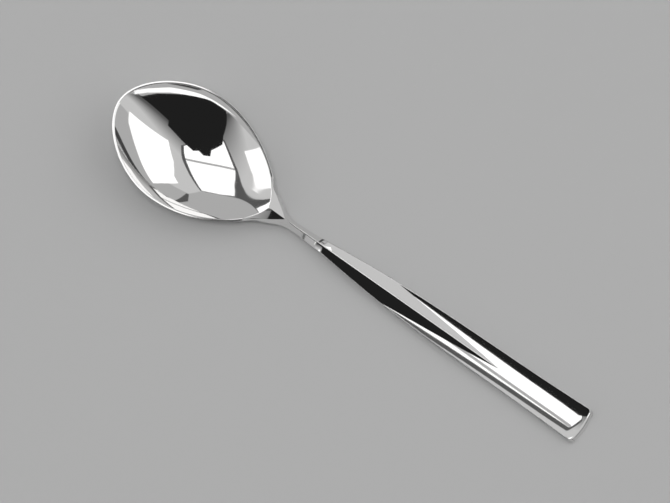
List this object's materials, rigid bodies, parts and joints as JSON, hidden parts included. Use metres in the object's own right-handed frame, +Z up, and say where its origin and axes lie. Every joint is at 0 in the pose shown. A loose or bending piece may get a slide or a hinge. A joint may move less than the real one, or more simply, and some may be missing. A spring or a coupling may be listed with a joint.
{
  "type": "soup spoon",
  "caption": "Polished steel soup spoon with an egg-shaped bowl, a low-ridged pointed land behind it, a narrow ridged neck and a slim handle whose ridge sinks into a shallow dish.",
  "frame": {"origin": "middle of the spoon's length and width, on the plane that its belly and the handle's foot rest on", "axes": "+X from the bowl's tip to the handle's end, +Y across the spoon, +Z up out of the bowl"},
  "size_m": [0.1998, 0.0444, 0.0158],
  "materials": {
    "steel": "mirror-polished stainless steel with fine scratches"
  },
  "bodies": {
    "root": {"bowl": "steel", "handle": "steel"}
  },
  "joints": []
}
